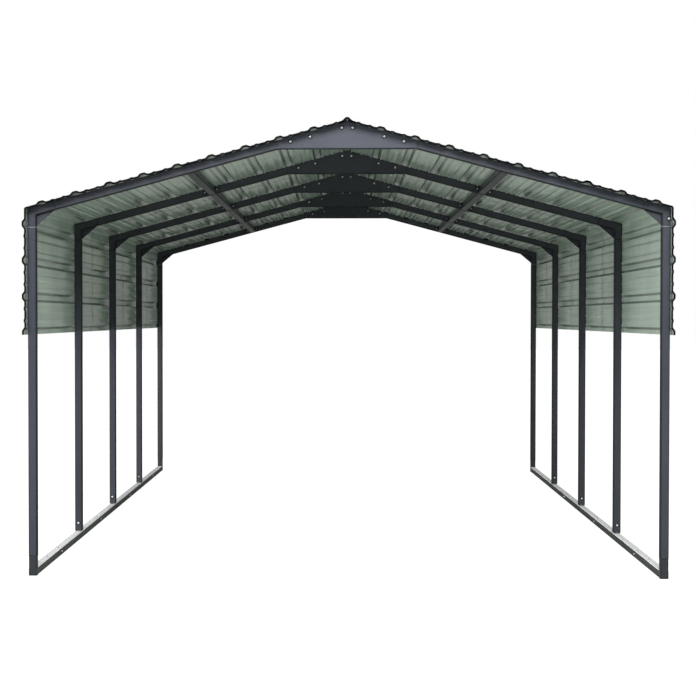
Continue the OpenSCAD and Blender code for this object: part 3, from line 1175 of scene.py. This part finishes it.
@dataclass(frozen=True)
class Head:
    """A domed head on a round washer, drawn along +Z from the face that it sits on."""

    width: float
    height: float
    washer: float
    washer_height: float
    dome: float = 0.75
    dome_angles: tuple[float, ...] = (25, 50, 72)
    sides: int = 12
    washer_sides: int = 20

    def rings(self) -> list[tuple[int, list[Point], int]]:
        """The stacked rings of washer and head.

        Returns:
            For each body its number of sides, its radii and heights, and its finish slot.
        """
        # the washer is chamfered, and the head sinks a little into it
        r, top = self.width / 2, self.washer_height + self.height
        washer = [(self.washer / 2, 0.0), (self.washer / 2, self.washer_height * 0.6),
                  (self.washer / 2 - self.washer_height * 0.4, self.washer_height)]
        head = [(r, self.washer_height * 0.8), (r, top - self.height * self.dome)]
        for angle in map(math.radians, self.dome_angles):
            head.append((r * math.cos(angle) * 0.97,
                         top - self.height * self.dome * (1 - math.sin(angle))))
        return [(self.washer_sides, washer, 1), (self.sides, head, 0)]

    def place(self, shop: Shop, spot: Vector, axis: Vector, turn: float) -> None:
        """Adds one head to the bench.

        Args:
            shop: where the mesh is collected.
            spot: the middle of its seat.
            axis: the way it stands out.
            turn: angle of its sides, in radians.
        """
        aim = axis.to_track_quat("Z", "Y").to_matrix() @ Matrix.Rotation(turn, 3, "Z")
        matrix = np.array(aim)
        for sides, rings, slot in self.rings():
            angles = np.arange(sides) * 2 * math.pi / sides
            points = np.vstack([np.column_stack([
                radius * np.cos(angles), radius * np.sin(angles),
                np.full(sides, height)]) for radius, height in rings])
            faces = [[n * sides + k, n * sides + (k + 1) % sides,
                      (n + 1) * sides + (k + 1) % sides, (n + 1) * sides + k]
                     for n in range(len(rings) - 1) for k in range(sides)]
            faces.append([(len(rings) - 1) * sides + k for k in range(sides)])
            shop.add(points @ matrix.T + np.array(spot), faces, slot)


@dataclass
class Fasteners:
    """Bolts of the frame and screws of the sheets."""

    cladding: Cladding
    bolt: Head = Head(15 * MM, 6.0 * MM, 24 * MM, 1.8 * MM)
    small_bolt: Head = Head(10 * MM, 4 * MM, 16 * MM, 1.2 * MM)
    rail_bolt: Head = Head(14 * MM, 5 * MM, 20 * MM, 1.2 * MM)
    screw: Head = Head(8 * MM, 3.2 * MM, 15 * MM, 1.2 * MM)
    point: Head = Head(6 * MM, 5 * MM, 7 * MM, 0.6 * MM, 0.9)
    plate_face: float = 26.7 * MM
    plate_bolts: tuple[Point, ...] = ((0.031, 2.564), (0.211, 2.514), (0.322, 2.486))
    corner_bolt: Point = (1.818, 2.045)
    purlin_x: float = 0.910
    flange_bolt: float = 42.0 * MM
    flange_face: float = 3.4 * MM
    foot_bolt: float = 0.101
    rail_bolt_height: float = 23.0 * MM
    rail_bolt_depth: float = 1.0 * MM
    splice_frame: int = 3
    splice_bolts: Point = (-30.0 * MM, 30.0 * MM)
    screw_off: float = 45.0 * MM
    screw_rise: Point = (1.3 * MM, 0.6 * MM)
    point_gap: float = 8.0 * MM

    def seats(self, number: int) -> Iterator[tuple[str, Head, Vector, Vector]]:
        """The bolts of one frame, and of the rails and purlins that meet it.

        Args:
            number: the frame's number, 1 being the front one.

        Returns:
            For each bolt the name of its mesh, its head, its seat and its direction.
        """
        slope, y, signs = self.cladding.slope, frame_y(number), (-1, 1)
        for x, z in self.plate_bolts:
            for sign in signs:
                for out in signs:
                    yield ("ridge_plate_bolts", self.bolt,
                           Vector((sign * x, y + out * self.plate_face, z)),
                           Vector((0, out, 0)))
        for sign in signs:
            for out in signs:
                # no purlin runs on past the end frames
                if number + out not in range(1, FRAME_COUNT + 1):
                    continue
                face = y + out * (TUBE / 2 + self.flange_face)
                for step in (-self.flange_bolt, self.flange_bolt):
                    x = self.purlin_x - step * math.cos(slope)
                    z = (self.cladding.eave_height
                         + (self.cladding.half_width - self.purlin_x) * math.tan(slope)
                         + step * math.sin(slope) - TUBE / 2 / math.cos(slope))
                    yield ("purlin_flange_bolts", self.small_bolt,
                           Vector((sign * x, face, z)), Vector((0, out, 0)))
            if 1 < number < FRAME_COUNT:
                yield ("post_foot_bolts", self.bolt,
                       Vector((sign * POST_X, y - TUBE / 2, self.foot_bolt)),
                       Vector((0, -1, 0)))
        if number == FRAME_COUNT:
            return
        for sign in signs:
            inner = sign * (POST_X - TUBE / 2 + self.rail_bolt_depth)
            for step in self.splice_bolts if number == self.splice_frame else (0.0,):
                yield ("base_rail_bolts", self.rail_bolt,
                       Vector((inner, y + FRAME_PITCH / 2 + step, self.rail_bolt_height)),
                       Vector((-sign, 0, 0)))

    def frame_bolts(self) -> None:
        """Bolts of the ridge plates, the purlin flanges, the post feet and the rails."""
        shops = {name: Shop() for name in ("ridge_plate_bolts", "purlin_flange_bolts",
                                           "post_foot_bolts", "base_rail_bolts")}
        turn = 0.0
        for number in range(1, FRAME_COUNT + 1):
            for name, head, spot, axis in self.seats(number):
                turn += TURN_STEP
                head.place(shops[name], spot, axis, turn)
        x, z = self.corner_bolt
        for out in (-1, 1):
            spot = Vector((x, out * (frame_y(FRAME_COUNT) + TUBE / 2), z))
            self.bolt.place(shops["ridge_plate_bolts"], spot, Vector((0, out, 0)), turn)
        for name, shop in shops.items():
            shop.weld(name, (BOLT_ZINC, SEAL), Slot.FRAME)

    def sheet_screws(self) -> None:
        """Screws that hold the sheets to the frames and to each other."""
        pitch = self.cladding.pattern.pitch
        up = Vector((math.sin(self.cladding.slope), 0, math.cos(self.cladding.slope)))
        for side in Side:
            clad = self.cladding.half(side)
            roof, wall = Shop(), Shop()
            turn = 0.0
            flip = Vector((side.value, 1, 1))
            for number in range(1, FRAME_COUNT + 1):
                y = frame_y(number)
                for k in range(1, clad.roof_ribs + 1):
                    turn += TURN_STEP
                    run = clad.ridge_run - k * pitch + self.screw_off
                    x, z = clad.on_roof(run, self.screw_rise[k > clad.lap_rib])
                    self.screw.place(roof, Vector((x, y, z)) * flip, up * flip, turn)
                for k in range(clad.side_ribs - 1):
                    turn += TURN_STEP
                    drop = clad.side_first + k * clad.side_pitch + self.screw_off
                    x, z = clad.on_side(drop, clad.pattern.thickness)
                    self.screw.place(wall, Vector((x, y, z)) * flip,
                                     Vector((side.value, 0, 0)), turn)
            roof.weld(f"roof_screws_{side.word}", (SCREW_PAINT, SEAL), Slot.SHEET)
            wall.weld(f"side_screws_{side.word}", (SCREW_PAINT, SEAL), Slot.SHEET)

    def screw_points(self) -> None:
        """Points of the stitch screws, which come through the sheets beside each frame."""
        pitch = self.cladding.pattern.pitch
        down = Vector((-math.sin(self.cladding.slope), 0, -math.cos(self.cladding.slope)))
        for side in Side:
            clad, shop = self.cladding.half(side), Shop()
            flip = Vector((side.value, 1, 1))
            runs = [clad.ridge_run - (k - step / 6) * pitch
                    for k in range(1, clad.roof_ribs + 1) for step in (1, 3, 5)]
            drops = [clad.side_first + (k + step / 6) * clad.side_pitch
                     for k in range(clad.side_ribs - 1) for step in (1, 3, 5)]
            for number in range(2, FRAME_COUNT + 1):
                y = frame_y(number) - TUBE / 2 - self.point_gap
                for run in runs:
                    x, z = clad.on_roof(run, 0.0)
                    self.point.place(shop, Vector((x, y, z)) * flip, down * flip, run)
                for drop in drops:
                    x, z = clad.on_side(drop, 0.0)
                    self.point.place(shop, Vector((x, y, z)) * flip,
                                     Vector((-side.value, 0, 0)), drop)
            shop.weld(f"screw_points_{side.word}", (BOLT_ZINC, BOLT_ZINC), Slot.SHEET)

    def build(self) -> None:
        """Builds all bolts, screws and screw points."""
        self.frame_bolts()
        self.sheet_screws()
        self.screw_points()


# ---------------------------------------------------------------- studio


@dataclass(frozen=True)
class Softbox:
    """A rectangular soft lamp, with its place, its aim, its size and its watts."""

    name: str
    place: tuple[float, float, float]
    aim: tuple[float, float, float]
    size: Point
    power: float

    def hang(self) -> None:
        """Hangs the lamp up, out of the camera's sight."""
        data = bpy.data.lights.new(self.name, "AREA")
        data.shape, (data.size, data.size_y) = "RECTANGLE", self.size
        data.energy = self.power
        made = bpy.data.objects.new(self.name, data)
        made.location = self.place
        made.visible_camera = False
        way = Vector(self.aim) - Vector(self.place)
        made.rotation_euler = way.to_track_quat("-Z", "Y").to_euler()
        bpy.context.scene.collection.objects.link(made)


@dataclass
class Studio:
    """Camera, floor and soft light.

    The surroundings glow a little from all round, and more from the left, the right,
    the back and above.
    """

    eye: tuple[float, float, float] = (-0.014, -11.745, 1.483)
    yaw: float = -1.673
    pitch: float = 1.188
    roll: float = 0.028
    lens: float = 78.91
    shift: Point = (0.0690, 0.0023)
    sensor: float = 36.0
    sight: float = 500.0
    floor_half: float = 60.0
    glow_round: float = 0.04
    glow_left: float = 0.26
    glow_right: float = 0.22
    glow_back: float = 0.18
    glow_above: float = 0.8
    softboxes: tuple[Softbox, ...] = (
        Softbox("key_softbox", (0.0, -9.1, 5.7), (0.0, -3.0, 2.2), (7.0, 3.6), 590.0),
        Softbox("side_softbox", (-8.5, -5.0, 0.8), (-1.8, 0.0, 0.8), (3.0, 1.2), 225.0),
        Softbox("low_fill", (0.0, -4.4, 1.3), (0.0, -2.4, 2.4), (1.6, 0.8), 5.0),
        Softbox("rear_side_softbox", (-4.0, -1.8, 0.6), (-1.85, 1.5, 0.7), (0.6, 1.0),
                48.0))

    def camera(self) -> None:
        """Adds the camera, aimed by its turn, its tilt and its lean in degrees."""
        yaw, pitch, roll = (math.radians(a) for a in (self.yaw, self.pitch, self.roll))
        ahead = Vector((math.sin(yaw) * math.cos(pitch), math.cos(yaw) * math.cos(pitch),
                        -math.sin(pitch)))
        level = Vector((math.cos(yaw), -math.sin(yaw), 0))
        above = level.cross(ahead)
        right = level * math.cos(roll) + above * math.sin(roll)
        up = above * math.cos(roll) - level * math.sin(roll)
        data = bpy.data.cameras.new("camera")
        data.lens, data.sensor_width = self.lens, self.sensor
        data.shift_x, data.shift_y = self.shift
        data.clip_end = self.sight
        made = bpy.data.objects.new("camera", data)
        made.matrix_world = Matrix((
            (right.x, up.x, -ahead.x, self.eye[0]), (right.y, up.y, -ahead.y, self.eye[1]),
            (right.z, up.z, -ahead.z, self.eye[2]), (0, 0, 0, 1)))
        bpy.context.scene.collection.objects.link(made)
        bpy.context.scene.camera = made

    def floor(self) -> None:
        """Adds the pale floor."""
        mesh = bpy.data.meshes.new("studio_floor")
        reach = self.floor_half
        mesh.from_pydata([(-reach, -reach, 0), (reach, -reach, 0), (reach, reach, 0),
                          (-reach, reach, 0)], [], [(0, 1, 2, 3)])
        mesh.materials.append(FLOOR_PAINT.material())
        made = bpy.data.objects.new("studio_floor", mesh)
        bpy.context.scene.collection.objects.link(made)

    def world(self) -> None:
        """Pale surroundings, which shine from the sides, from above and from behind."""
        made = bpy.data.worlds.new("white_studio")
        made.use_nodes = True
        tree = made.node_tree
        tree.nodes.clear()
        way = add_node(tree, "ShaderNodeTexCoord").outputs["Generated"]
        parts = add_node(tree, "ShaderNodeSeparateXYZ", {0: way})
        across = add_node(tree, "ShaderNodeMapRange", {
            "Value": parts.outputs["X"], "From Min": -1.0, "From Max": 1.0,
            "To Min": self.glow_left, "To Max": self.glow_right})
        sideways = add_node(tree, "ShaderNodeMath", {
            0: parts.outputs["X"], 1: parts.outputs["X"]}, operation="MULTIPLY")
        strength = add_node(tree, "ShaderNodeMath", {
            0: across, 1: sideways, 2: self.glow_round}, operation="MULTIPLY_ADD")
        for axis, share in (("Y", self.glow_back), ("Z", self.glow_above)):
            ahead = add_node(tree, "ShaderNodeMath", {0: parts.outputs[axis], 1: 0.0},
                             operation="MAXIMUM")
            strength = add_node(tree, "ShaderNodeMath", {0: ahead, 1: share, 2: strength},
                                operation="MULTIPLY_ADD")
        glow = add_node(tree, "ShaderNodeBackground", {
            "Color": linear("ffffff"), "Strength": strength})
        plain = add_node(tree, "ShaderNodeBackground", {
            "Color": linear("ffffff"), "Strength": 1.0})
        seen = add_node(tree, "ShaderNodeLightPath").outputs["Is Camera Ray"]
        both = add_node(tree, "ShaderNodeMixShader", {
            0: seen, 1: glow, 2: plain})
        add_node(tree, "ShaderNodeOutputWorld", {"Surface": both})
        bpy.context.scene.world = made

    def build(self) -> None:
        """Sets up camera, floor, lights and surroundings."""
        self.camera()
        self.floor()
        self.world()
        for softbox in self.softboxes:
            softbox.hang()
        bpy.context.scene.view_settings.view_transform = "Standard"
        log.info("studio: ready")


def main() -> None:
    """Builds the sheets, the frame's finish, the fasteners and the studio in turn."""
    logging.basicConfig(level=logging.INFO, format="%(name)s: %(message)s")
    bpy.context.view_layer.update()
    cladding = Cladding()
    cladding.build()
    TubeFrame(slope=cladding.slope).dress()
    Seams().build()
    Fasteners(cladding).build()
    Studio().build()


if __name__ == "__main__":
    main()
